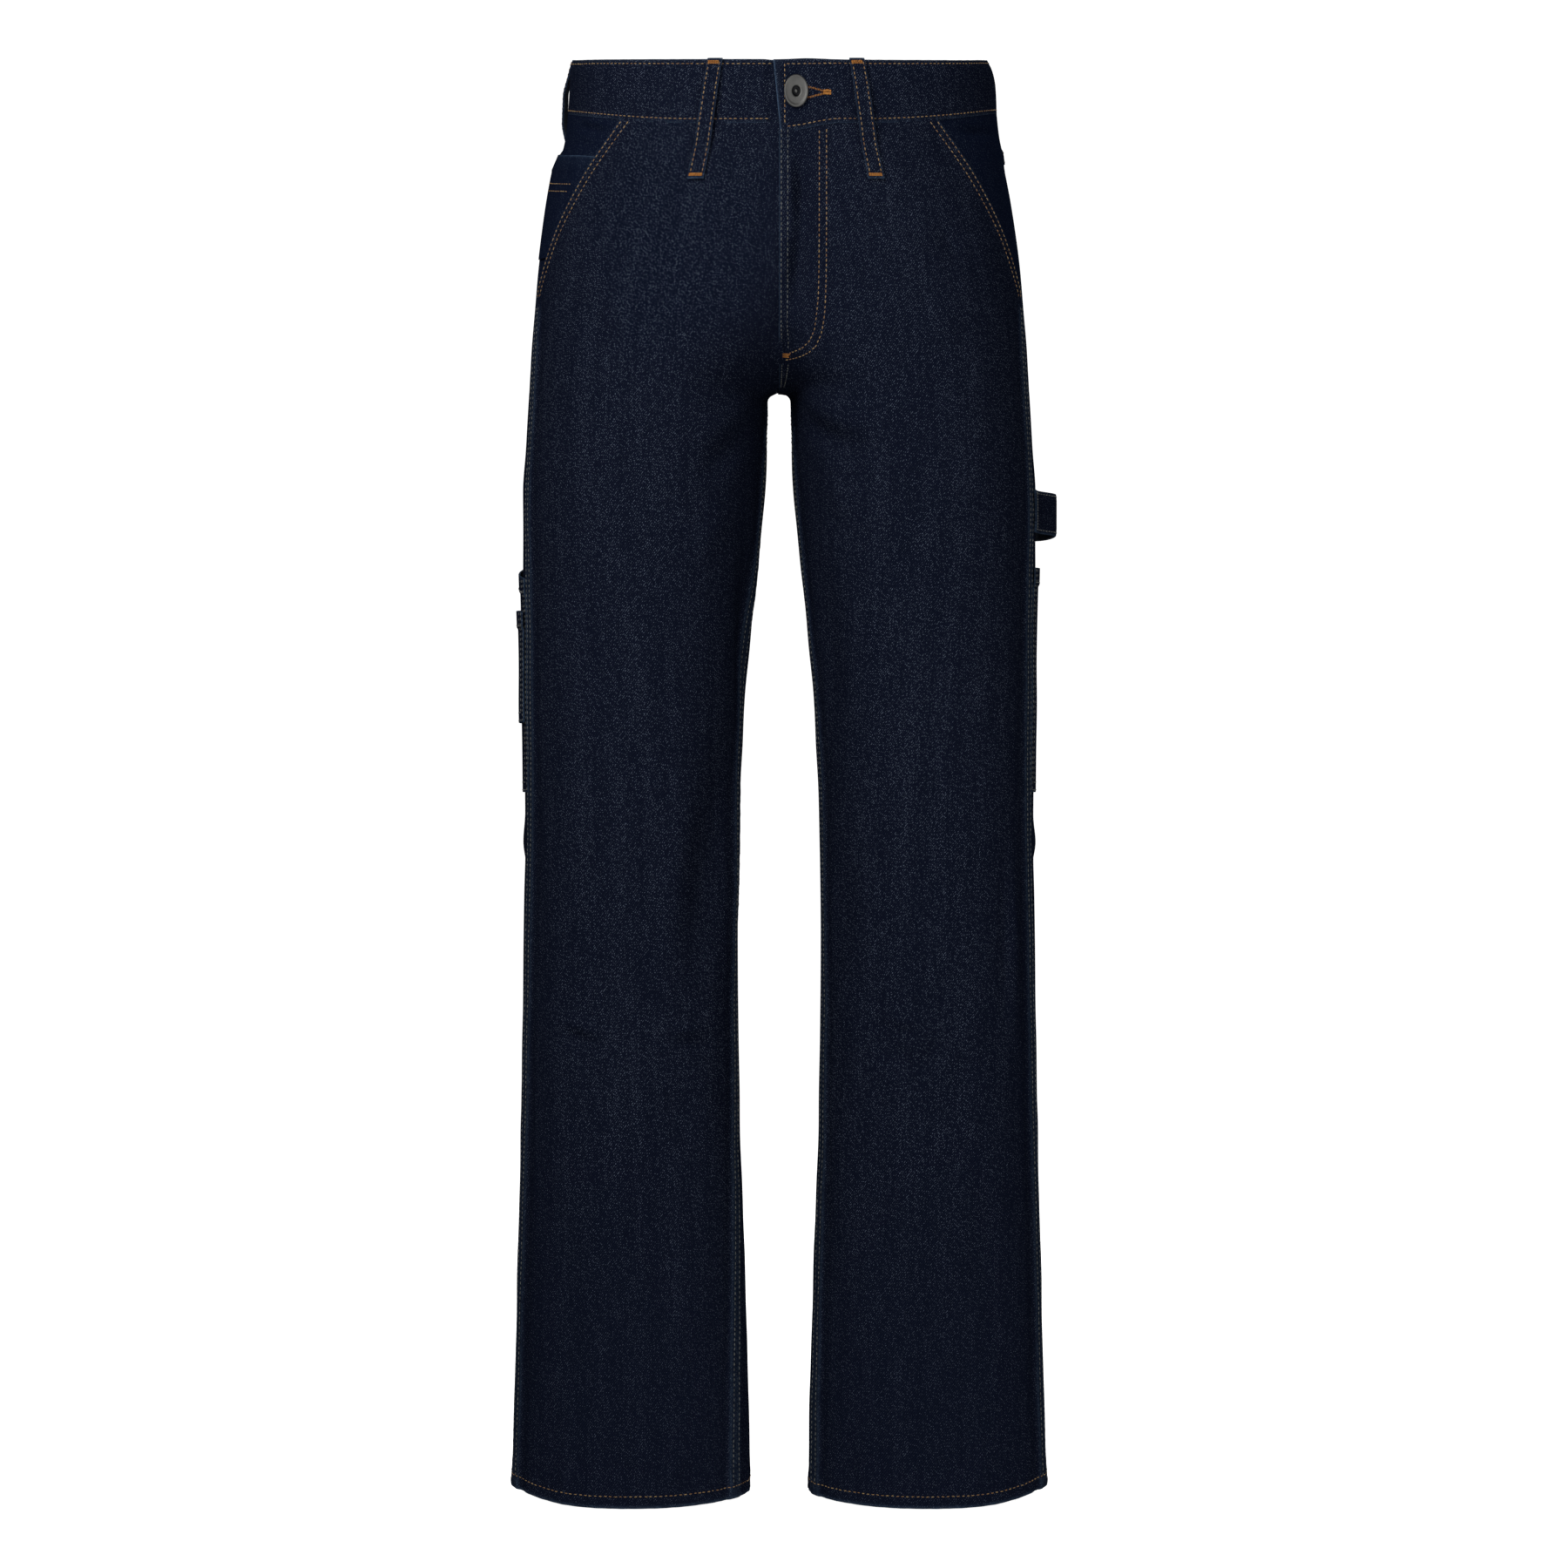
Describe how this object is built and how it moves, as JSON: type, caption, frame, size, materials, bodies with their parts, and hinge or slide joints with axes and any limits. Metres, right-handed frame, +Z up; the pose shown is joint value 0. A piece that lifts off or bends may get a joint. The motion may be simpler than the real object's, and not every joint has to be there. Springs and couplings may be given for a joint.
{
  "type": "carpenter jeans",
  "caption": "Straight-leg carpenter jeans in dark denim, filled out as worn, with slanted hip pockets, tool pockets on the thighs, a hammer loop and a buttoned waistband.",
  "frame": {"origin": "centre of the waist opening, level with the waistband's top edge at the sides, where the wearer's waist holds the jeans", "axes": "+Z up along the legs towards the waist, -Y the front, +X the wearer's left"},
  "size_m": [0.4026, 0.2535, 1.0801],
  "materials": {
    "denim": "unwashed dark indigo twill with pale weft specks",
    "denim_band": "dark indigo twill, a little more of the pale weft showing",
    "button_metal": "satin pewter grey"
  },
  "bodies": {
    "root": {"front_left": "denim", "front_right": "denim", "back_left": "denim", "back_right": "denim", "yoke_left": "denim", "yoke_right": "denim", "hip_facing_left": "denim", "hip_facing_right": "denim", "rule_pocket": "denim", "back_pocket_left": "denim", "back_pocket_right": "denim", "tool_pocket_left": "denim", "tool_pocket_right": "denim", "tool_pocket_right_small": "denim", "hammer_loop": "denim", "waistband": "denim_band", "belt_loop_front_left": "denim_band", "belt_loop_front_right": "denim_band", "belt_loop_side_left": "denim_band", "belt_loop_side_right": "denim_band", "belt_loop_back": "denim_band", "button": "button_metal"}
  },
  "joints": []
}
